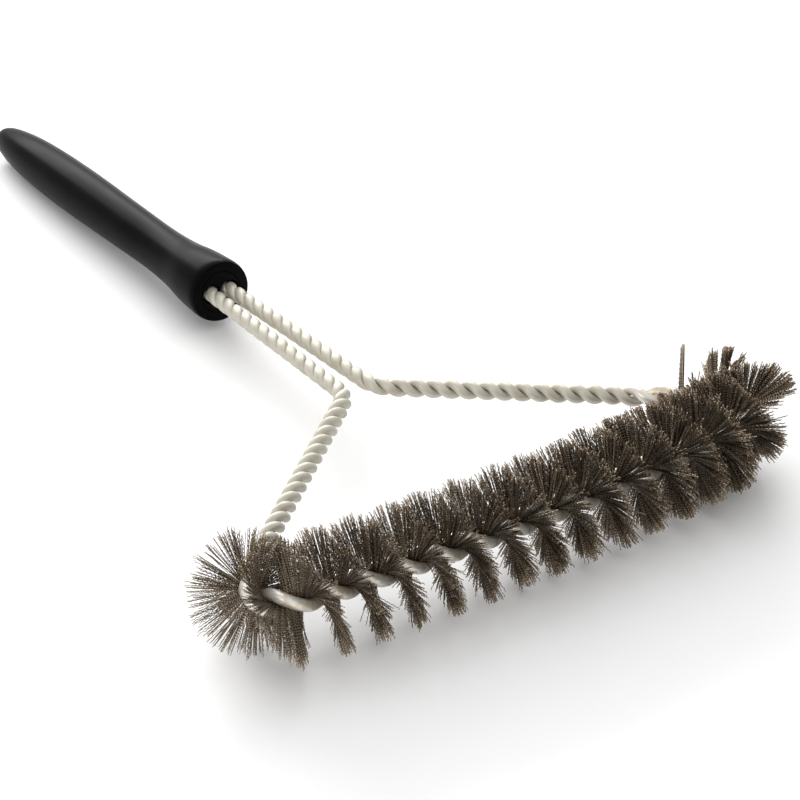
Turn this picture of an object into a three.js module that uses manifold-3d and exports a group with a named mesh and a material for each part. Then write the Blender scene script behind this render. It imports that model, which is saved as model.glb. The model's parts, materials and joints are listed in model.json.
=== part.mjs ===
// A three-sided grill cleaning brush, in millimetres, +Z up, lying at rest on a flat surface.
// Two steel wires are twisted together all the way from the handle, round a triangle and back.
// Along the front bar the twist clamps crimped steel bristles, which stand out all round the core.
// Both ends of the twisted pair are held side by side in the socket of a moulded handle.
import * as THREE from 'three';
import { mergeVertices } from 'three/addons/utils/BufferGeometryUtils.js';
import Module from 'manifold-3d';

// Driving dimensions
const wireDiameter = 3.7;
const wireGap = 0.35;           // between the two wires where nothing is clamped
const bristleGap = 1.8;         // between the two wires where they clamp the bristles
const barPitch = 27.9;          // length of one full turn of the twist along the front bar
const armPitch = 13.6;          // and along the slanted arms, where the twist is tight
const stemPitch = 14.6;         // and along the stems and in the handle
const pitchRamp = 20;           // length in which arm pitch turns into stem pitch
const middleTwist = 120.5;      // degrees that the wires have turned at the bar's middle
const brushRadius = 23;         // from the core's axis to the bristle tips
const layerThickness = 0.8;     // of the clamped bristle layer, between the wires
const tipThickness = 5.2;       // of the same layer at its tips, where it spreads
const waistHalfWidth = 2.4;     // from the core's axis to where the layer starts to spread
const cornerGap = 1.2;          // between the bristles and the bisector of a corner

const frameHalfWidth = 121;     // from the middle to where bar and arm would meet in a point
const barBow = 12;              // how far the middle of the bar would stand out in front
const barBowRadius = 800;
const cornerRadius = 13;
const frameDepth = 106;         // from the corners back to the bends of the arms
const bendHalfGap = 6;          // from the middle to each stem at the bends
const bendRadius = 18;
const stemLength = 107.5;       // from the bends to the front face of the handle
const socketHalfGap = 4.1;      // from the middle to each stem in the handle
const socketBendRadius = 200;
const tailLength = 45;          // of each stem inside the handle
const bristledLeft = 126;       // along the wire from the bar's middle to the last bristle
const bristledRight = 141;
const rampStart = 3;            // beyond the last bristle the wires start to close
const rampEnd = 14;             // and here they are closed, and twisted as tight as in the arms

const handleLength = 211.5;
const handleNeckRadius = 10.2;
const handleBellyRadius = 11.1;
const handleBellyAt = 128.5;    // from the front face to the thickest part of the grip
const handleFlareRadius = 13.5;
const mouthRadius = 9.1;        // of the opening in the front of the grip
const coreRadius = 8.8;
const coreLength = 70;
const coreChamfer = 0.8;
const socketRadius = 4.25;      // round each twisted pair
const socketDepthBeyondTail = 2;
const fit = 0.3;                // clearance between pieces that touch

const wireSides = 6;
const stepsPerTurn = 10;        // of a wire
const layerSteps = 10;          // of a bristle tuft, in half a turn
const handleSides = 28;
const handleSteps = 34;         // from the handle's front face to its tip
const socketSides = 16;
const samplesPerMm = 4;         // of the wires' twist

const up = new THREE.Vector3(0, 0, 1);
const handleFrontY = frameDepth + stemLength;

const finish = (color, roughness, metalness) => () => (
  new THREE.MeshStandardMaterial({ color, roughness, metalness })
);
const wireSteel = finish(0xbdb9ae, 0.34, 0.9);
const bristleSteel = finish(0x4b4239, 0.45, 0.8);
const softBlack = finish(0x15171a, 0.55, 0);
const hardBlack = finish(0x222426, 0.4, 0);

// The centreline of the twisted pair, as straight lines joined by round bends, in the XY plane.
function roundedPath(corners) {
  const path = new THREE.CurvePath();
  let from = corners[0].at;
  corners.slice(1).forEach(({ at, radius }, i) => {
    const next = corners[i + 2];
    if (!next) {
      path.add(new THREE.LineCurve(from, at));
      return;
    }
    const back = from.clone().sub(at).normalize();
    const ahead = next.at.clone().sub(at).normalize();
    const half = Math.acos(back.dot(ahead)) / 2;
    const start = at.clone().addScaledVector(back, radius / Math.tan(half));
    const end = at.clone().addScaledVector(ahead, radius / Math.tan(half));
    const toCentre = back.clone().add(ahead).normalize();
    const centre = at.clone().addScaledVector(toCentre, radius / Math.sin(half));
    const angle = (point) => Math.atan2(point.y - centre.y, point.x - centre.x);
    const turning = [angle(start), angle(end), back.cross(ahead) > 0];
    path.add(new THREE.LineCurve(from, start));
    path.add(new THREE.EllipseCurve(centre.x, centre.y, radius, radius, ...turning));
    from = end;
  });
  return path;
}

const rightSide = [
  { at: new THREE.Vector2(frameHalfWidth, 0), radius: cornerRadius },
  { at: new THREE.Vector2(bendHalfGap, frameDepth), radius: bendRadius },
  { at: new THREE.Vector2(socketHalfGap, handleFrontY), radius: socketBendRadius },
  { at: new THREE.Vector2(socketHalfGap, handleFrontY + tailLength) },
];
const mirrored = ({ at, radius }) => ({ at: new THREE.Vector2(-at.x, at.y), radius });
const leftSide = rightSide.map(mirrored).reverse();
const barMiddle = { at: new THREE.Vector2(0, -barBow), radius: barBowRadius };
const centreline = roundedPath([...leftSide, barMiddle, ...rightSide]);
const wireLength = centreline.getLength();
const middle = wireLength / 2;

// 1 where the wires clamp bristles and 0 where they are bare, and 1 on the stems and 0 on the arms.
const { lerp, smoothstep } = THREE.MathUtils;
const bristleStart = middle - bristledLeft;
const bristleEnd = middle + bristledRight;
const stemStart = middle - stemLength - tailLength;
const bristledAt = (along) => smoothstep(along, bristleStart - rampEnd, bristleStart - rampStart)
  * (1 - smoothstep(along, bristleEnd + rampStart, bristleEnd + rampEnd));
const stemAt = (along) => (
  smoothstep(Math.abs(along - middle), stemStart - pitchRamp / 2, stemStart + pitchRamp / 2)
);

// How far the wires have been wound, in turns, at a distance along the centreline, and the inverse.
const turnsPerMm = (along) => {
  const bare = lerp(1 / armPitch, 1 / stemPitch, stemAt(along));
  return lerp(bare, 1 / barPitch, bristledAt(along));
};
const turns = [0];
for (let i = 0; i < Math.ceil(wireLength * samplesPerMm); i += 1) {
  turns.push(turns[i] + turnsPerMm((i + 0.5) / samplesPerMm) / samplesPerMm);
}
function turnsAt(along) {
  const at = THREE.MathUtils.clamp(along * samplesPerMm, 0, turns.length - 1.001);
  const i = Math.floor(at);
  return lerp(turns[i], turns[i + 1], at - i);
}
const allTurns = turnsAt(wireLength);
function alongAt(turn) {
  let i = turns.findIndex((value) => value > turn);
  i = i < 1 ? turns.length - 1 : i;
  return (i - 1 + (turn - turns[i - 1]) / (turns[i] - turns[i - 1])) / samplesPerMm;
}

// The twisted frame at a distance along the centreline: across joins the centres of the two wires,
// and layer runs between them, the way the bristles point. The twist is right-handed.
function twistFrame(along) {
  const u = THREE.MathUtils.clamp(along / wireLength, 0, 1);
  const point = centreline.getPoint(u);
  const heading = centreline.getTangent(u);
  const inward = new THREE.Vector3(-heading.y, heading.x, 0);
  const turned = turnsAt(along) - turnsAt(middle) + middleTwist / 360;
  const angle = turned * 2 * Math.PI;
  const across = inward.clone().multiplyScalar(Math.cos(angle)).addScaledVector(up, Math.sin(angle));
  const layer = inward.clone().multiplyScalar(-Math.sin(angle)).addScaledVector(up, Math.cos(angle));
  return { centre: new THREE.Vector3(point.x, point.y, 0), inward, across, layer, angle };
}

// One of the two wires, wound round the centreline on the side that is given by 1 or -1.
class WoundWire extends THREE.Curve {
  constructor(side) {
    super();
    this.side = side;
  }

  getPoint(t, target = new THREE.Vector3()) {
    const along = alongAt(t * allTurns);
    const { centre, across } = twistFrame(along);
    const gap = lerp(wireGap, bristleGap, bristledAt(along));
    return target.copy(centre).addScaledVector(across, (this.side * (wireDiameter + gap)) / 2);
  }

  // The steps are even in twist and not in length, so that every turn is as round as the others.
  getUtoTmapping(u) {
    return u;
  }
}

function wire(side) {
  const section = new THREE.Shape();
  for (let i = 0; i < wireSides; i += 1) {
    const angle = (i / wireSides) * 2 * Math.PI;
    const corner = [Math.cos(angle) * wireDiameter / 2, Math.sin(angle) * wireDiameter / 2];
    section[i ? 'lineTo' : 'moveTo'](...corner);
  }
  const steps = Math.round(allTurns * stepsPerTurn);
  return new THREE.ExtrudeGeometry(section, { steps, extrudePath: new WoundWire(side) });
}

// How far a bristle may point into the triangle before it meets those of the other leg of its corner.
function inwardRoom(centre, inward, along) {
  const side = Math.sign(along - middle) || 1;
  const apex = new THREE.Vector2(side * frameHalfWidth, 0);
  const armSlope = Math.atan2(frameDepth, frameHalfWidth - bendHalfGap);
  const barSlope = Math.atan2(barBow, frameHalfWidth);
  const halfCorner = (armSlope - barSlope) / 2;
  const bisector = new THREE.Vector2(-side * Math.cos(halfCorner), Math.sin(halfCorner));
  const toPoint = new THREE.Vector2(centre.x, centre.y).sub(apex);
  const closing = bisector.cross(new THREE.Vector2(inward.x, inward.y));
  const room = bisector.cross(toPoint) / -closing;
  return room > 0 ? room : Infinity;
}

// A half turn of the bristle layer: a flat bow-tie section, extruded and then wound onto the core.
function bristleTuft(from, to) {
  const half = layerThickness / 2;
  const waist = waistHalfWidth;
  const tip = tipThickness / 2;
  const outline = [
    [-brushRadius, -tip], [-waist, -half], [waist, -half], [brushRadius, -tip],
    [brushRadius, tip], [waist, half], [-waist, half], [-brushRadius, tip],
  ];
  const section = new THREE.Shape(outline.map(([x, y]) => new THREE.Vector2(x, y)));
  const settings = { depth: to - from, steps: layerSteps, bevelEnabled: false };
  const geometry = new THREE.ExtrudeGeometry(section, settings);
  const position = geometry.getAttribute('position');
  for (let i = 0; i < position.count; i += 1) {
    const along = from + position.getZ(i);
    const { centre, inward, across, layer, angle } = twistFrame(along);
    const room = inwardRoom(centre, inward, along) - cornerGap;
    const thick = -position.getY(i);
    let reach = position.getX(i);
    if (-reach * Math.sin(angle) + thick * Math.cos(angle) > room) {
      reach = (thick * Math.cos(angle) - room) / Math.sin(angle);
    }
    const point = centre.clone().addScaledVector(layer, reach).addScaledVector(across, thick);
    position.setXYZ(i, point.x, point.y, point.z);
  }
  return geometry;
}

// The grip is turned about the Y axis: its mouth and socket first, then the outside up to the tip.
function grip() {
  const outside = new THREE.SplineCurve([
    [mouthRadius, 0], [12.3, 0.2], [13.2, 1], [handleFlareRadius, 5], [12.7, 18], [11, 33],
    [handleNeckRadius, 53], [10.5, 83], [handleBellyRadius, handleBellyAt], [10.6, 163],
    [9.2, 186], [6.6, 203.5], [3.4, handleLength - 1.6], [0, handleLength],
  ].map(([radius, y]) => new THREE.Vector2(radius, y)));
  const profile = outside.getPoints(handleSteps);
  profile[handleSteps].x = 0;
  const cavityEnd = coreLength + fit;
  const cavity = [new THREE.Vector2(0, cavityEnd), new THREE.Vector2(mouthRadius, cavityEnd)];
  const turned = new THREE.LatheGeometry([...cavity, ...profile], handleSides);
  return turned.translate(0, handleFrontY, 0);
}

const wasm = await Module();
wasm.setup();

function toSolid(geometry) {
  const bare = geometry.clone();
  bare.deleteAttribute('normal');
  bare.deleteAttribute('uv');
  const merged = mergeVertices(bare);
  const mesh = new wasm.Mesh({
    numProp: 3,
    vertProperties: new Float32Array(merged.getAttribute('position').array),
    triVerts: new Uint32Array(merged.getIndex().array),
  });
  return new wasm.Manifold(mesh);
}

function toGeometry(solid) {
  const { vertProperties, triVerts } = solid.getMesh();
  const geometry = new THREE.BufferGeometry();
  geometry.setAttribute('position', new THREE.BufferAttribute(vertProperties, 3));
  geometry.setIndex(new THREE.BufferAttribute(triVerts, 1));
  geometry.computeVertexNormals();
  return geometry;
}

// The hard core that the two twisted pairs are moulded into, with their figure-of-eight socket.
function handleCore() {
  const profile = [
    [0, 0], [coreRadius, 0], [coreRadius, coreLength - coreChamfer],
    [coreRadius - coreChamfer, coreLength], [0, coreLength],
  ].map(([radius, y]) => new THREE.Vector2(radius, y));
  let core = toSolid(new THREE.LatheGeometry(profile, handleSides));
  const depth = tailLength + socketDepthBeyondTail;
  [-socketHalfGap, socketHalfGap].forEach((x) => {
    const bore = new THREE.CylinderGeometry(socketRadius, socketRadius, 2 * depth, socketSides);
    core = core.subtract(toSolid(bore.translate(x, 0, 0)));
  });
  return toGeometry(core).translate(0, handleFrontY, 0);
}

const brush = new THREE.Group();

function addPiece(name, geometry, material) {
  const mesh = new THREE.Mesh(geometry, material);
  mesh.name = name;
  brush.add(mesh);
}

addPiece('core_wire_upper', wire(1), wireSteel());
addPiece('core_wire_lower', wire(-1), wireSteel());
const tuftCount = Math.round(2 * (turnsAt(bristleEnd) - turnsAt(bristleStart)));
const tuftStep = (bristledLeft + bristledRight) / tuftCount;
for (let i = 0; i < tuftCount; i += 1) {
  const from = bristleStart + i * tuftStep;
  const name = `bristle_tuft_${String(i + 1).padStart(2, '0')}`;
  addPiece(name, bristleTuft(from + fit / 2, from + tuftStep - fit / 2), bristleSteel());
}
addPiece('handle_core', handleCore(), hardBlack());
addPiece('handle_grip', grip(), softBlack());

// The brush lies on its bristle tips and on the belly of its grip, so its frame leans back a little.
const lean = Math.atan((brushRadius - handleBellyRadius) / (handleFrontY + handleBellyAt));
brush.rotation.x = -lean;
brush.updateMatrixWorld(true);
const box = new THREE.Box3().setFromObject(brush, true);
const boxCentre = box.getCenter(new THREE.Vector3());
brush.position.set(-boxCentre.x, -boxCentre.y, -box.min.z);

export default brush;
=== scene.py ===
# %% [markdown]
# A three-sided grill cleaning brush. Two steel wires are twisted together from the handle,
# round a triangle and back. Along the front bar, and a little way round one corner, the twist
# clamps crimped steel bristles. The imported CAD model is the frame: its pieces stay where they
# are, and each finer piece made here stands in for one of them.

# %% Open the frame
import json
import math
import bpy
import numpy as np
from mathutils import Matrix, Vector


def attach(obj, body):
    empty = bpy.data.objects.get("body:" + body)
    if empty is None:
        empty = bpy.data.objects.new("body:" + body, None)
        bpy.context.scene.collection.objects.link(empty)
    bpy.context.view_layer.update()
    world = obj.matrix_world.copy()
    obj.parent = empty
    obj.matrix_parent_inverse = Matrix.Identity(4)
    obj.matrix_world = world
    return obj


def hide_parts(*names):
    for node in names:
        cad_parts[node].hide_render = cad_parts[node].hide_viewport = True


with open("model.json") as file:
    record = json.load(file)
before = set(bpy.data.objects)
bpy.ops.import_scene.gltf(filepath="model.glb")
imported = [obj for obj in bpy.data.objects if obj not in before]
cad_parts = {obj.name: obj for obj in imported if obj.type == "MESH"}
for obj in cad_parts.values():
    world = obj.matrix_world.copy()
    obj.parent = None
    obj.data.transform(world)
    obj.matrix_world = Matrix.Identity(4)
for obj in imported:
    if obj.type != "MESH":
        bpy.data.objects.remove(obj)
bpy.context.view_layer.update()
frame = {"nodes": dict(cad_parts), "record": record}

# %% [markdown]
# Every length below is in millimetres, because that is how a brush is measured, and is turned
# into metres when a mesh is made. The wires' own drawing lies in a plane with the bar along X
# and the handle along Y. The record's mount point on the handle's front face says where that
# plane lies, so the whole brush follows the CAD if its place or its lean changes.

# %% The brush's own plane, placed by the record's mount
MM = 0.001
HANDLE_FRONT = 213.5          # from the corners' line to the handle's front face
MOUNT_RISE = 6.6              # of the mount point over the handle's axis

mount = frame["record"]["mounts"][0]
along_handle = -Vector(mount["axis"])
across_bar = Vector((1, 0, 0))
upward = across_bar.cross(along_handle)
origin = Vector(mount["pos_m"]) - along_handle * HANDLE_FRONT * MM - upward * MOUNT_RISE * MM
place = Matrix((across_bar, along_handle, upward)).transposed().to_4x4()
place.translation = origin
place_array = np.array(place)
print("the brush's plane starts at", tuple(round(c, 5) for c in origin))


def to_row(points):
    """Points in the brush's plane, in millimetres, as points of the shared frame, in metres."""
    return points * MM @ place_array[:3, :3].T + place_array[:3, 3]


# %% [markdown]
# The line that the twisted pair follows is straight pieces joined by round bends. A Blender
# curve could hold it, but the bristles also need to know where they are along it, which way it
# heads and how far the wires have turned, so the line is kept as a list of stations a quarter
# of a millimetre apart, and everything else looks its place up there.

# %% Straight pieces and round bends
STEP = 0.25                   # between stations
BEND_STEP = 0.1               # between the points of a bend, before that


def unit(vector):
    return vector / np.linalg.norm(vector)


def rounded(corners):
    """A line through corners given as (x, y, bend radius), with round bends."""
    points = [np.array(corners[0][:2])]
    for before, corner, after in zip(corners, corners[1:], corners[2:]):
        at, radius = np.array(corner[:2]), corner[2]
        back, ahead = unit(np.array(before[:2]) - at), unit(np.array(after[:2]) - at)
        half = math.acos(back @ ahead) / 2
        centre = at + unit(back + ahead) * radius / math.sin(half)
        first = at + back * radius / math.tan(half) - centre
        last = at + ahead * radius / math.tan(half) - centre
        sweep = math.pi - 2 * half
        part = np.linspace(0, 1, max(8, int(sweep * radius / BEND_STEP)))[:, None]
        arc = first * np.sin((1 - part) * sweep) + last * np.sin(part * sweep)
        points.extend(centre + arc / math.sin(sweep))
    points.append(np.array(corners[-1][:2]))
    return np.array(points)


print("a right angle, rounded, has", len(rounded([(0, 0), (10, 0, 5), (10, 10)])), "points")

# %% [markdown]
# The frame has the same bends on the left and on the right, so only the right side is given,
# from the bar's corner to the end of the tail in the handle, and the left side mirrors it.

# %% The line of the frame
CORNER, CORNER_BEND = 121, 13                 # half the bar, and the bend at its end
NECK_X, NECK_Y, NECK_BEND = 6, 106, 18        # where an arm turns into its stem
STEM_X, STEM_BEND = 4.1, 200                  # of each stem where it enters the handle
TAIL = 45                                     # of each stem inside the handle
BAR_BOW, BOW_BEND = -12, 800                  # the bar bulges a little to the front
right_side = [(CORNER, 0, CORNER_BEND), (NECK_X, NECK_Y, NECK_BEND),
              (STEM_X, HANDLE_FRONT, STEM_BEND), (STEM_X, HANDLE_FRONT + TAIL, 0)]
left_side = [(-x, y, radius) for x, y, radius in reversed(right_side)]
line = rounded([*left_side, (0, BAR_BOW, BOW_BEND), *right_side])
gone = np.concatenate([[0], np.cumsum(np.linalg.norm(np.diff(line, axis=0), axis=1))])
length = gone[-1]
stations = np.arange(0, length, STEP)
line = np.stack([np.interp(stations, gone, line[:, i]) for i in range(2)], axis=1)
heading = np.gradient(line, axis=0)
heading /= np.linalg.norm(heading, axis=1)[:, None]
middle = length / 2
print("each wire lies along", round(length), "mm of line")

# %% [markdown]
# The pair isn't twisted evenly. The arms are wound tight, the stems a little slacker, and the
# front bar slackest of all, where the bristles hold the wires apart. The amount of twist is
# added up from one end to the other, and set so that it is right at the bar's middle.

# %% How far the wires have turned at each station
BAR_PITCH, ARM_PITCH, STEM_PITCH = 27.9, 13.6, 14.6
MIDDLE_TWIST = 120.5          # degrees turned at the bar's middle
BRISTLED_LEFT, BRISTLED_RIGHT = 126, 141      # from the middle, along the line
CLOSE_FROM, CLOSED_BY = 3, 14                 # past the bristles, where the wires come together
STEM_START = middle - (HANDLE_FRONT - NECK_Y) - TAIL
STEM_BLEND = 10               # each way from there, over which the pitch changes


def ramp(value, low, high):
    """0 below low, 1 above high, and a smooth step between them."""
    part = np.clip((value - low) / (high - low), 0, 1)
    return part * part * (3 - 2 * part)


opened = ramp(stations, middle - BRISTLED_LEFT - CLOSED_BY, middle - BRISTLED_LEFT - CLOSE_FROM)
opened *= 1 - ramp(stations, middle + BRISTLED_RIGHT + CLOSE_FROM,
                   middle + BRISTLED_RIGHT + CLOSED_BY)
on_stem = ramp(abs(stations - middle), STEM_START - STEM_BLEND, STEM_START + STEM_BLEND)
bare_rate = (1 - on_stem) / ARM_PITCH + on_stem / STEM_PITCH
rate = bare_rate * (1 - opened) + opened / BAR_PITCH
turned = np.cumsum(rate) * STEP
turned += MIDDLE_TWIST / 360 - np.interp(middle, stations, turned)
print("turns of the pair:", round(turned[-1] - turned[0], 1))

# %% [markdown]
# Wires and bristles both start from the pair's own directions at a place on the line: across
# points from one wire to the other, and the layer of bristles between them is square to it.

# %% The pair's directions anywhere along the line
def twisted(along):
    """Centre, inward, heading, across and layer of the pair at distances along its line."""
    def look_up(table):
        return np.stack([np.interp(along, stations, table[:, i]) for i in range(2)], axis=-1)
    zero = np.zeros_like(along)[..., None]
    centre = np.concatenate([look_up(line), zero], axis=-1)
    ahead = np.concatenate([look_up(heading), zero], axis=-1)
    inward = np.stack([-ahead[..., 1], ahead[..., 0], zero[..., 0]], axis=-1)
    angle = np.interp(along, stations, turned)[..., None] * 2 * np.pi
    up = np.array([0, 0, 1])
    across = inward * np.cos(angle) + up * np.sin(angle)
    layer = up * np.cos(angle) - inward * np.sin(angle)
    return centre, inward, ahead, across, layer


print("across, at the bar's middle:", np.round(twisted(np.array([middle]))[3], 2))

# %% [markdown]
# All the pieces here are tubes or turned shapes, so one helper makes a mesh from rings of
# points: it joins neighbouring rings with four-sided faces and closes both ends, which leaves
# no hole and no stray face. Another gives each piece its body and its material, and hides
# the CAD nodes that it stands for.

# %% Meshes from rings
def ring_faces(rings, sides, first=0):
    """Faces of one tube whose rings of vertices follow each other from the vertex first."""
    ring = np.arange(rings - 1)[:, None] * sides + first
    side = np.arange(sides)[None, :]
    after = (side + 1) % sides
    quads = np.stack([ring + side, ring + after, ring + sides + after, ring + sides + side], -1)
    return quads.reshape(-1, 4)


def new_piece(name, points, faces, nodes, material):
    """A piece of the brush from points in its own plane, standing for some CAD nodes."""
    mesh = bpy.data.meshes.new(name)
    mesh.from_pydata(to_row(points), [], faces)
    mesh.polygons.foreach_set("use_smooth", [True] * len(mesh.polygons))
    mesh.materials.append(material)
    piece = bpy.data.objects.new(name, mesh)
    bpy.context.scene.collection.objects.link(piece)
    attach(piece, "root")
    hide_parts(*nodes)
    return piece


def keep_on_points(piece, label, values):
    """Keeps one number on each point of a piece, where its finish can read it."""
    attribute = piece.data.attributes.new(label, "FLOAT", "POINT")
    attribute.data.foreach_set("value", np.asarray(values, np.float32))


print("a tube of 3 rings of 4 has", len(ring_faces(3, 4)), "faces round its side")

# %% [markdown]
# A finish is a small network of nodes. Written as plain sums and products it is far easier to
# follow than as a list of links, so a thin wrapper round a socket turns each operator into its
# Math node, and one method makes any other node from its type, settings and inputs.

# %% Shader maths as expressions
class Value:
    """An output socket of a finish's network, which sums and products can be made of."""

    def __init__(self, finish, socket):
        self.finish, self.socket = finish, socket

    def math(self, operation, *others):
        node = self.finish.tree.nodes.new("ShaderNodeMath")
        node.operation = operation
        for place_in_node, value in enumerate((self, *others)):
            self.finish.join(value, node.inputs[place_in_node])
        return Value(self.finish, node.outputs[0])

    def __add__(self, other):
        return self.math("ADD", other)

    def __mul__(self, other):
        return self.math("MULTIPLY", other)

    def __sub__(self, other):
        return self.math("SUBTRACT", other)

    __radd__, __rmul__ = __add__, __mul__

    def power(self, exponent):
        return self.math("POWER", exponent)


print("sums, products and powers of sockets are ready")

# %% [markdown]
# Each finish starts from one Principled shader. The methods below add the few other nodes that
# the finishes here need: colours mixed by a mask, noise, a stretched range and shallow relief.

# %% A finish and the nodes it needs
class Finish:
    """One material, with its Principled shader and the nodes that feed it."""

    def __init__(self, name):
        self.material = bpy.data.materials.new(name)
        self.material.use_nodes = True
        self.tree = self.material.node_tree
        self.tree.nodes.clear()
        self.shader = self.tree.nodes.new("ShaderNodeBsdfPrincipled")
        output = self.tree.nodes.new("ShaderNodeOutputMaterial")
        self.tree.links.new(self.shader.outputs[0], output.inputs["Surface"])

    def join(self, value, socket):
        if isinstance(value, Value):
            self.tree.links.new(value.socket, socket)
        else:
            socket.default_value = value

    def node(self, kind, settings=None, output=0, **sockets):
        """Any node, by its type. Settings go first, then the sockets, as Name_of_socket=value."""
        node = self.tree.nodes.new("ShaderNode" + kind)
        for name, value in (settings or {}).items():
            setattr(node, name, value)
        for name, value in sockets.items():
            self.join(value, node.inputs[name.replace("_", " ")])
        return Value(self, node.outputs[output])

    def mix(self, mask, first, second):
        """A colour between two others."""
        node = self.tree.nodes.new("ShaderNodeMix")
        node.data_type = "RGBA"
        self.join(mask, node.inputs[0])
        self.join(first, node.inputs[6])
        self.join(second, node.inputs[7])
        return Value(self, node.outputs[2])

    def noise(self, scale, detail):
        """Noise in the brush's own space, with about scale marks in a metre."""
        place_on_brush = self.node("TexCoord", output=3)
        return self.node("TexNoise", Vector=place_on_brush, Scale=scale, Detail=detail)

    def between(self, value, low, high):
        """The value's range from low to high, stretched to run from 0 to 1."""
        return self.node("MapRange", Value=value, From_Min=low, From_Max=high)

    def attribute(self, name):
        """A number kept on the mesh's points."""
        return self.node("Attribute", {"attribute_name": name}, output=2)

    def bump(self, height, depth, strength):
        """A height between 0 and 1 as relief of that depth in metres, into the shader."""
        normal = self.node("Bump", Height=height, Distance=depth, Strength=strength)
        self.join(normal, self.shader.inputs["Normal"])

    def set(self, **sockets):
        """Sets or joins the shader's own sockets, and hands over the finished material."""
        for name, value in sockets.items():
            self.join(value, self.shader.inputs[name.replace("_", " ")])
        return self.material


print("finishes can mix colours, stretch ranges, and use noise, attributes and bumps")

# %% [markdown]
# The wires are drawn stainless steel: matt, a little warm, with a fine grain and soft duller
# blotches. On the front bar they are smoother and brighter, with straw-brown patches like those
# that heat leaves on steel. A number kept on the wires' points says how much of that each place
# has, and noise makes the patches.

# %% Drawn steel
drawn = Finish("drawn_steel")
blotch = drawn.noise(140, 4)
fine = drawn.noise(2600, 2)
dulled = drawn.between(blotch, 0.52, 0.72)
heated = drawn.attribute("heated")
tinted = drawn.between(drawn.noise(260, 2), 0.50, 0.62)
steel_colour = drawn.mix(dulled, (0.58, 0.555, 0.475, 1), (0.50, 0.46, 0.375, 1))
steel_colour = drawn.mix(heated, steel_colour, (0.88, 0.85, 0.78, 1))
steel_colour = drawn.mix(heated * tinted * 0.55, steel_colour, (0.62, 0.46, 0.26, 1))
drawn.bump(fine, 0.00003, 0.35)
drawn_steel = drawn.set(Base_Color=steel_colour, Metallic=0.55,
                        Roughness=0.48 + 0.10 * fine + 0.10 * dulled - 0.22 * heated)
print("made", drawn_steel.name)

# %% [markdown]
# Each wire is a round rod wound round the shared line. It could be a curve with a bevel, but a
# curve decides for itself how its profile is turned; rings set square to the winding line stay
# even. The ring's frame comes from the line's direction and the way out from the core. The wires
# are round on the arms. On the stems they are pressed together into ovals, which closes the
# rope, and on the bar they are a little fuller, so that they show between the tufts.

# %% The two wires
WIRE = 3.7                    # thickness on the arms
BRISTLE_GAP = 1.8             # between the wires on the bar
BAR_FULLER = 0.40             # added to the radius on the bar
STEM_FLATTER, STEM_WIDER = 0.22, 0.42         # what the radii lose and gain on the stems


def wound_wire(name, side, nodes, sides=16, steps_per_turn=26):
    """One wire of the pair, on one side of the core, as rings from tail to tail."""
    rings = int((turned[-1] - turned[0]) * steps_per_turn)
    along = np.interp(np.linspace(turned[0], turned[-1], rings), turned, stations)
    centre, _, _, across, _ = twisted(along)
    bar, stem = np.interp(along, stations, opened), np.interp(along, stations, on_stem)
    half_out = WIRE / 2 + BAR_FULLER * bar - STEM_FLATTER * stem
    half_beside = WIRE / 2 + BAR_FULLER * bar + STEM_WIDER * stem
    from_core = (WIRE + BRISTLE_GAP * bar) / 2 - STEM_FLATTER * stem
    spine = centre + across * (side * from_core)[:, None]
    way = np.gradient(spine, axis=0)
    way[[0, -1]] = np.cross(across[[0, -1]], np.cross(way[[0, -1]], across[[0, -1]]))
    way /= np.linalg.norm(way, axis=1)[:, None]
    out = across - way * np.sum(across * way, axis=1)[:, None]
    out /= np.linalg.norm(out, axis=1)[:, None]
    beside = np.cross(way, out)
    angle = np.arange(sides) / sides * 2 * np.pi
    ring = (out[:, None] * half_out[:, None, None] * np.cos(angle)[:, None]
            + beside[:, None] * half_beside[:, None, None] * np.sin(angle)[:, None])
    points = (spine[:, None] + ring).reshape(-1, 3)
    faces = ring_faces(rings, sides).tolist()
    faces.append(list(range(sides))[::-1])
    faces.append([(rings - 1) * sides + i for i in range(sides)])
    print(name, len(faces), "faces")
    wire = new_piece(name, points, faces, nodes, drawn_steel)
    keep_on_points(wire, "heated", np.repeat(bar, sides))


wound_wire("wound_wire_upper", 1, ["core_wire_upper"])
wound_wire("wound_wire_lower", -1, ["core_wire_lower"])

# %% [markdown]
# The bristles are thin crimped steel wire, dark brown, with painted highlights along the bends of
# the crimp: the glints that light makes there are painted into the colour. Two numbers on each
# bristle's points carry this: its own tone, so that neighbours differ, and its reach from the
# core to its tip. A cosine of the reach is high once for every bend of the crimp, shifted by the
# tone so that the painted glints of neighbours don't line up, and the last of the reach makes
# the tips paler.

# %% Browned crimped steel
CRIMPS = 22                   # bends of the crimp on each side of the core
PHASES = 60                   # radians from the darkest tone's bright spots to the palest's
browned = Finish("browned_steel")
tone = browned.attribute("tone")
reach = browned.attribute("reach")
stain = browned.noise(420, 3)
browned_colour = browned.mix(tone, (0.019, 0.0125, 0.007, 1), (0.225, 0.16, 0.10, 1))
browned_colour = browned.mix(browned.between(stain, 0.48, 0.75) * 0.5,
                             browned_colour, (0.09, 0.048, 0.022, 1))
# Painted highlights: the colour is lifted to a pale glint at each bend of the crimp, where light
# would glint.
bends = 0.5 + 0.5 * (reach * (CRIMPS * 2 * math.pi) + tone * PHASES).math("COSINE")
painted_crest_glints = bends.power(3) * (0.02 + 1.25 * tone)
browned_colour = browned.mix(painted_crest_glints, browned_colour, (1.0, 0.86, 0.68, 1))
browned_colour = browned.mix(browned.between(reach, 0.84, 1.0) * 0.24,
                             browned_colour, (0.62, 0.47, 0.31, 1))
browned_steel = browned.set(Base_Color=browned_colour, Metallic=0.8,
                            Roughness=0.30 + 0.2 * stain)
print("made", browned_steel.name)

# %% [markdown]
# Bristles gather in clumps as they do on a used brush: their tips lean towards the clump that
# they belong to, and each is a little shorter than new. A few stray further than the rest. All
# chance comes from one seeded generator, so that every run makes the same brush.

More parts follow.
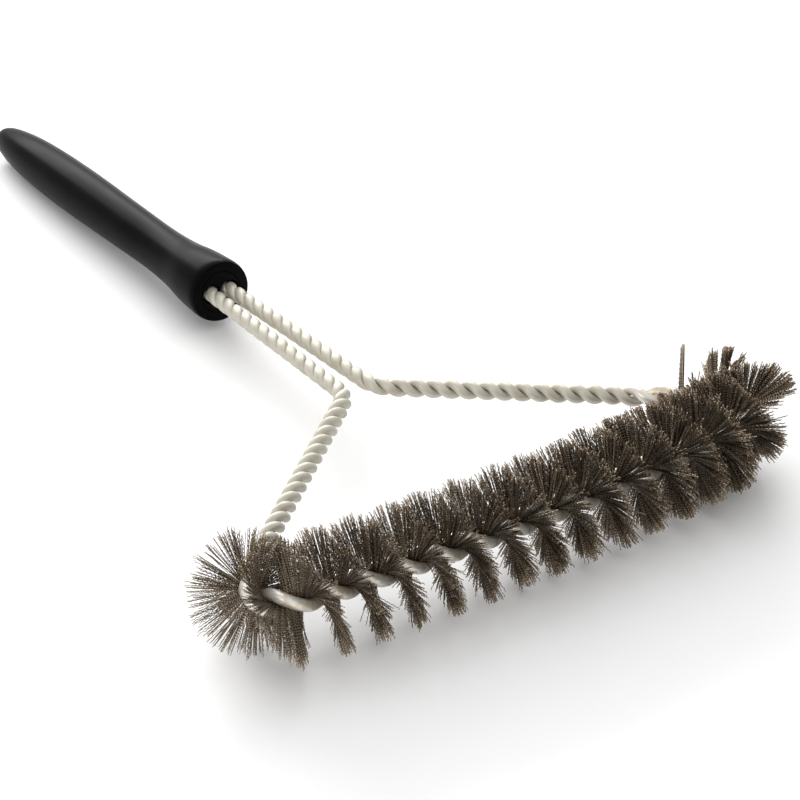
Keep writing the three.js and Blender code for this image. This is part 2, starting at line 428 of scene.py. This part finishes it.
# %% How bristles gather in clumps
FURTHEST = 6                  # that a tip is carried along or across
STRAY_SHARE, STRAY_MORE = 0.03, 2.2           # how many stray, and how many times further
PULL = 2.6                    # of a clump on its bristles' tips, for a gather of 1
rng = np.random.default_rng(8)


def clumped(root, offset, start, end, clumps, gather, spread, ragged):
    """How far each bristle's tip is carried along and across, its shortening and its crimp."""
    seeds = rng.uniform(start - 0.5, end + 0.5, clumps)
    nearest = np.abs(root[:, None] - seeds).argmin(axis=1)
    count = len(root)
    ahead = (seeds[nearest] - root) * gather * PULL + rng.normal(0, spread, count)
    aside = rng.normal(0, 1.0, clumps)[nearest] * (0.4 + gather) + offset * 4
    aside += rng.normal(0, spread * 0.75, count)
    stray = rng.random(count) < STRAY_SHARE
    ahead[stray] *= STRAY_MORE
    aside[stray] *= STRAY_MORE
    shorter = rng.uniform(0, 0.06, clumps)[nearest] + ragged * rng.random(count) ** 1.7
    plane = rng.uniform(0, np.pi, clumps)[nearest] + rng.normal(0, 0.35, count)
    ahead, aside = (np.clip(move, -FURTHEST, FURTHEST) for move in (ahead, aside))
    return ahead, aside, shorter, plane


print("about", round(STRAY_SHARE * 100), "in 100 bristles stray")

# %% [markdown]
# Round both corners the layer fans out and its bristles are a little shorter. Low on the outside
# of the right corner they are shorter still, and on top of it three clumps stand together like a
# crown. Behind these, on top of the right arm, the bristles have worn down to the core, all but
# one clump. Each rule is a mask over the bristles: a smooth one for what comes on by degrees,
# and a plain yes or no for the crown, the lone clump and the worn ones.

# %% What wear has left at the corners
FAN_FROM, FAN_FULL, FAN_SHORTER = 108, 120, 0.09      # mm from the middle, and share lost
LOW_FROM, LOW_FULL, LOW_SHORTER = 90, 100, 0.21
CROWN = ((112.5, 116.8, -6), (116.8, 120, 0), (120, 123.5, 3))   # from, to, lean along
CROWN_SHORTER, LONE_SHORTER = 0.12, 0.13
WORN_FROM = middle + 127.5    # on top, bristles have worn off from here on
LONE_CLUMP = middle + 132.7   # the one clump that is left there
LONE_HALF = 0.9               # half its width at the root
STUMP = 0.92                  # of its length that a worn bristle has lost


def wear(root, upward, outward, tip_ahead, tip_aside, shorter):
    """Changes the tips of one side's bristles in place, by where they are on the line."""
    fanned = ramp(np.abs(root - middle - 3), FAN_FROM, FAN_FULL) * (1 - 0.6 * np.abs(upward))
    shorter += FAN_SHORTER * fanned
    low_corner = ramp(root - middle, LOW_FROM, LOW_FULL) * ramp(-upward, -0.3, 0.3)
    shorter += LOW_SHORTER * (low_corner * ramp(outward, 0, 0.5))
    for low, high, lean in CROWN:
        paddle = (root > middle + low) & (root < middle + high) & (upward > 0.2)
        gathered = (middle + (low + high) / 2 - root[paddle]) * 0.25 + lean
        tip_ahead[paddle] = gathered + rng.normal(0, 0.6, paddle.sum())
        shorter[paddle] = CROWN_SHORTER + 0.04 * rng.random(paddle.sum())
    lone = (np.abs(root - LONE_CLUMP) < LONE_HALF) & (upward > 0.1)
    tip_ahead[lone] = (LONE_CLUMP - root[lone]) * 0.15
    tip_aside[lone] *= 0.3
    shorter[lone] = LONE_SHORTER + 0.05 * rng.random(lone.sum())
    worn = (root > WORN_FROM) & ((upward > 0.1) | (outward > 0.4)) & ~lone
    shorter[worn] = STUMP
    tip_ahead[worn] = tip_aside[worn] = 0


print("worn from", WORN_FROM - middle, "mm past the bar's middle")

# %% [markdown]
# Each bristle is one crimped wire that passes between the two core wires and stands out on both
# sides, so its spine runs from tip to tip through the core. The crimp is a zigzag from one
# station to the next, which fades out where the core wires clamp it.

# %% One crimped bristle after another
REACH = 23.0                  # from the core's axis to the bristle tips
CRIMP, CRIMP_VARIES = 0.15, 0.04              # half its depth, and how much that differs


def bristles(start, end, count, **habit):
    """Spines, square directions and reach of bristles clamped between two places on the line."""
    root = rng.uniform(start, end, count)
    offset = rng.uniform(-0.5, 0.5, count)
    centre, inward, ahead, across, layer = twisted(root)
    part = np.linspace(-1, 1, 2 * CRIMPS + 1)
    bend = np.abs(part) ** 1.35
    wave = np.where(np.arange(2 * CRIMPS + 1) % 2, 1, -1) * np.clip(np.abs(part) * 12 - 1, 0, 1)
    distance = np.zeros((count, len(part)))
    side_move = np.repeat(offset[:, None], len(part), axis=1)
    ahead_move = np.zeros_like(side_move)
    slid = rng.uniform(-1, 1, count)[:, None] * (1 - part**8)
    for side in (-1, 1):
        here = part * side >= 0
        tip_ahead, tip_aside, shorter, plane = clumped(root, offset, start, end, **habit)
        upward, outward = layer[:, 2] * side, np.sum(layer * -inward, axis=1) * side
        wear(root, upward, outward, tip_ahead, tip_aside, shorter)
        crimp = rng.normal(CRIMP, CRIMP_VARIES, count)[:, None] * wave[here]
        distance[:, here] = part[here] * REACH * (1 - shorter[:, None]) + slid[:, here]
        side_move[:, here] += tip_aside[:, None] * bend[here] + crimp * np.cos(plane)[:, None]
        ahead_move[:, here] += tip_ahead[:, None] * bend[here] + crimp * np.sin(plane)[:, None]
    spines = (centre[:, None] + layer[:, None] * distance[..., None]
              + across[:, None] * side_move[..., None] + ahead[:, None] * ahead_move[..., None])
    return spines, across, ahead, np.abs(part)


print("each bristle has", 2 * CRIMPS + 1, "stations from tip to tip")

# %% [markdown]
# A tuft is half a turn of the clamped layer. Hair curves would be lighter, but the part is
# exported as meshes, so each bristle is a thin three-sided tube, and the tubes of one tuft are
# one piece. The brush lies on its bristles, so those that would sink are bent up to the floor.

# %% One tuft as a piece
REST = 0.0003                 # metres between the floor and the lowest bristle
SPREAD_OVER_FLOOR = 0.02      # of the depth that a bristle would sink, kept as height


def keep_off_floor(mesh):
    """Bends whatever would sink into the surface that the brush lies on back up to it."""
    flat = np.zeros(len(mesh.vertices) * 3, np.float32)
    mesh.vertices.foreach_get("co", flat)
    flat[2::3] = np.maximum(flat[2::3], REST + SPREAD_OVER_FLOOR * np.abs(flat[2::3]))
    mesh.vertices.foreach_set("co", flat)
    mesh.update()


def tuft_piece(name, node, start, end, thick, pale, **habit):
    """One tuft of bristles as thin crimped tubes, in a piece of its own."""
    spines, across, ahead, reached = bristles(start, end, **habit)
    count, rings = spines.shape[:2]
    angle = np.arange(3) / 3 * 2 * np.pi
    square = (across[:, None] * np.cos(angle)[None, :, None]
              + ahead[:, None] * np.sin(angle)[None, :, None])
    points = (spines[:, :, None] + square[:, None] * thick / 2).reshape(-1, 3)
    faces = np.concatenate([ring_faces(rings, 3, i * rings * 3) for i in range(count)]).tolist()
    for i in range(count):
        first, last = i * rings * 3, (i + 1) * rings * 3 - 3
        faces += [[first + 2, first + 1, first], [last, last + 1, last + 2]]
    piece = new_piece(name, points, faces, [node], browned_steel)
    keep_off_floor(piece.data)
    tones = np.minimum(rng.beta(1.4, 2.4, count) + pale, 1)
    keep_on_points(piece, "tone", np.repeat(tones, rings * 3))
    keep_on_points(piece, "reach", np.tile(np.repeat(reached, 3), count))


print("bristles keep", REST * 1000, "mm off the floor")

# %% [markdown]
# Towards the left end the bristles are fine and stand one by one, palest at the very end.
# Towards the right corner they are thicker and more of them stick together, in flat paddles.
# The habit of each tuft slides from one to the other along the bar.

# %% Nineteen tufts from the left corner to the right arm
TUFTS = 19
tuft_step = (BRISTLED_LEFT + BRISTLED_RIGHT) / TUFTS
bristle_total = 0
for number in range(TUFTS):
    start = middle - BRISTLED_LEFT + number * tuft_step
    to_right = number / (TUFTS - 1)
    habit = dict(thick=0.29 + 0.15 * to_right, pale=0.22 * (1 - to_right) ** 6,
                 count=int(240 + 50 * ramp(number, 0, 3) + 110 * to_right**4),
                 clumps=int(19 - 6 * to_right), gather=0.26 + 0.26 * to_right,
                 spread=1.15, ragged=0.22 - 0.12 * to_right)
    label = f"{number + 1:02d}"
    tuft_piece("bristles_" + label, "bristle_tuft_" + label, start, start + tuft_step, **habit)
    bristle_total += habit["count"]
print(TUFTS, "tufts with", bristle_total, "bristles in all")

# %% [markdown]
# The grip is moulded rubber over a hard core: satin black, with a very fine grain that takes
# the edge off every reflection. It is smooth to the hand, so the grain is only a shallow bump.

# %% Satin rubber and hard plastic
satin = Finish("satin_rubber")
grain = satin.noise(5200, 2)
handling = satin.noise(38, 3)
satin.bump(grain, 0.00004, 0.25)
rubber_colour = satin.mix(satin.between(handling, 0.4, 0.7),
                          (0.0022, 0.0024, 0.0028, 1), (0.0040, 0.0040, 0.0044, 1))
satin_rubber = satin.set(Base_Color=rubber_colour, Roughness=0.25 + 0.10 * handling,
                         Specular_IOR_Level=0.025)
hard = Finish("hard_plastic")
moulded = hard.noise(1800, 3)
hard.bump(moulded, 0.00005, 0.3)
plastic_colour = hard.mix(moulded, (0.002, 0.002, 0.0024, 1), (0.005, 0.005, 0.0055, 1))
hard_plastic = hard.set(Base_Color=plastic_colour, Roughness=0.45 + 0.16 * moulded,
                        Specular_IOR_Level=0.03)
print("made", satin_rubber.name, "and", hard_plastic.name)

# %% [markdown]
# The grip is a turned shape: a flat front with a rounded lip, a flare that stops the hand, a
# neck, a belly and a long taper to a round tip. It is spun from the same outline as the CAD
# grip, with far more steps, and keeps the mouth and the socket that the core sits in.

# %% The grip's outline
SOCKET_RADIUS, SOCKET_DEPTH = 9.1, 70.3
OUTLINE = [(SOCKET_RADIUS, 0), (12.3, 0.2), (13.2, 1), (13.5, 5), (12.7, 18), (11, 33),
           (10.2, 53), (10.5, 83), (11.1, 128.5), (10.6, 163), (9.2, 186), (6.6, 203.5),
           (3.4, 209.9), (0, 211.5)]      # radius, and distance from the front


def spline(controls, steps):
    """A smooth line through control points, by the Catmull and Rom rule."""
    known = np.array([controls[0], *controls, controls[-1]], float)
    places = []
    for at in np.linspace(0, len(controls) - 1, steps):
        i = min(int(at), len(controls) - 2)
        t = at - i
        before, start, end, after = known[i:i + 4]
        leave, arrive = (end - before) / 2, (after - start) / 2
        places.append((2 * t**3 - 3 * t**2 + 1) * start + (t**3 - 2 * t**2 + t) * leave
                      + (3 * t**2 - 2 * t**3) * end + (t**3 - t**2) * arrive)
    return np.array(places)


profile = np.concatenate([[(SOCKET_RADIUS, SOCKET_DEPTH)], spline(OUTLINE, 150)[:-1]])
print("the grip is", round(2 * profile[:, 0].max(), 1), "mm thick at its widest")

# %% [markdown]
# Spinning the profile gives the rings, and one point on the axis closes each end: the floor of
# the socket and the round tip. The core keeps its CAD shape, and only its material is changed.

# %% The grip and its core
sides = 96
angle = np.arange(sides) / sides * 2 * np.pi
rings = np.stack([profile[:, None, 0] * np.cos(angle),
                  profile[:, None, 1] + HANDLE_FRONT + 0 * angle,
                  profile[:, None, 0] * np.sin(angle)], axis=-1).reshape(-1, 3)
ends = [(0, HANDLE_FRONT + SOCKET_DEPTH, 0), (0, HANDLE_FRONT + OUTLINE[-1][1], 0)]
faces = ring_faces(len(profile), sides).tolist()
inner_pole, tip_pole, last = len(rings), len(rings) + 1, len(rings) - sides
faces += [[inner_pole, (i + 1) % sides, i] for i in range(sides)]
faces += [[tip_pole, last + i, last + (i + 1) % sides] for i in range(sides)]
new_piece("moulded_grip", np.concatenate([rings, ends]), faces,
          ["handle_grip"], satin_rubber)
core = frame["nodes"]["handle_core"]
core.data.materials.clear()
core.data.materials.append(hard_plastic)
print("grip faces:", len(faces))

# %% [markdown]
# The brush lies on a plain pale floor under large soft lights, as on a studio table. A wide
# light behind and above draws the long soft highlight along the grip's upper side, and a
# bright surround fills the steel with something pale to reflect.

# %% Floor, surround and soft lights
FLOOR = 6                     # metres from the middle to each edge
floor_corners = [(-FLOOR, -FLOOR, 0), (FLOOR, -FLOOR, 0), (FLOOR, FLOOR, 0), (-FLOOR, FLOOR, 0)]
floor_mesh = bpy.data.meshes.new("floor")
floor_mesh.from_pydata(floor_corners, [], [(0, 1, 2, 3)])
floor = bpy.data.objects.new("floor", floor_mesh)
bpy.context.scene.collection.objects.link(floor)
pale = Finish("pale_floor")
speck = pale.noise(60, 4)
floor_mesh.materials.append(pale.set(
    Base_Color=pale.mix(speck, (0.90, 0.90, 0.90, 1), (0.92, 0.92, 0.92, 1)), Roughness=0.6))

world = bpy.data.worlds.new("pale_surround")
world.use_nodes = True
background = world.node_tree.nodes["Background"]
background.inputs["Color"].default_value = (1, 1, 1, 1)
background.inputs["Strength"].default_value = 0.8
bpy.context.scene.world = world
bpy.context.scene.view_settings.view_transform = "Standard"


def soft_light(name, at, aim, size, power):
    """A large rectangular lamp that points from its place to an aim, in metres and watts."""
    light = bpy.data.lights.new(name, "AREA")
    light.shape, light.size, light.size_y, light.energy = "RECTANGLE", *size, power
    lamp = bpy.data.objects.new(name, light)
    lamp.location = at
    lamp.rotation_euler = (Vector(aim) - Vector(at)).to_track_quat("-Z", "Y").to_euler()
    bpy.context.scene.collection.objects.link(lamp)


soft_light("overhead", (0.5, 0.9, 1.4), (0, 0.1, 0), (1.8, 1.6), 12)
soft_light("from_the_left", (-1.6, -0.6, 0.8), (0, 0, 0), (0.8, 0.6), 5)
soft_light("behind", (0.6, 2.0, 1.0), (0, 0, 0), (2.2, 0.5), 34)
print("floor, surround and three lights")

# %% [markdown]
# The camera looks over the front bar from the left, and the handle runs away from it. Its place
# is worked out from an aim point on the brush, two angles, a small roll and a distance, which
# are the things one would set on a tripod. Its lens is a long one.

# %% The camera
AZIMUTH, ELEVATION, ROLL = (math.radians(degrees) for degrees in (-31.329, 30.80, -2.548))
DISTANCE = 0.95214            # metres from the aim point
AIM = Vector((1.138, 96.855, -0.607))         # in the brush's plane, in millimetres
SENSOR, LENS = 36, 113.247    # millimetres
aim = place @ (AIM * MM)
back = Vector((math.sin(AZIMUTH) * math.cos(ELEVATION),
               -math.cos(AZIMUTH) * math.cos(ELEVATION), math.sin(ELEVATION)))
level = Vector((math.cos(AZIMUTH), math.sin(AZIMUTH), 0))
upright = back.cross(level)
right = level * math.cos(ROLL) + upright * math.sin(ROLL)
top = upright * math.cos(ROLL) - level * math.sin(ROLL)
lens = bpy.data.cameras.new("camera")
lens.sensor_width = SENSOR
lens.lens = LENS
lens.shift_x, lens.shift_y = 0.0311, 0.0011
lens.clip_start = 0.01
camera = bpy.data.objects.new("camera", lens)
turn = Matrix((right, top, back)).transposed().to_4x4()
camera.matrix_world = Matrix.Translation(aim + back * DISTANCE) @ turn
bpy.context.scene.collection.objects.link(camera)
bpy.context.scene.camera = camera
print("lens", round(lens.lens, 1), "mm at", tuple(round(c, 3) for c in camera.location))
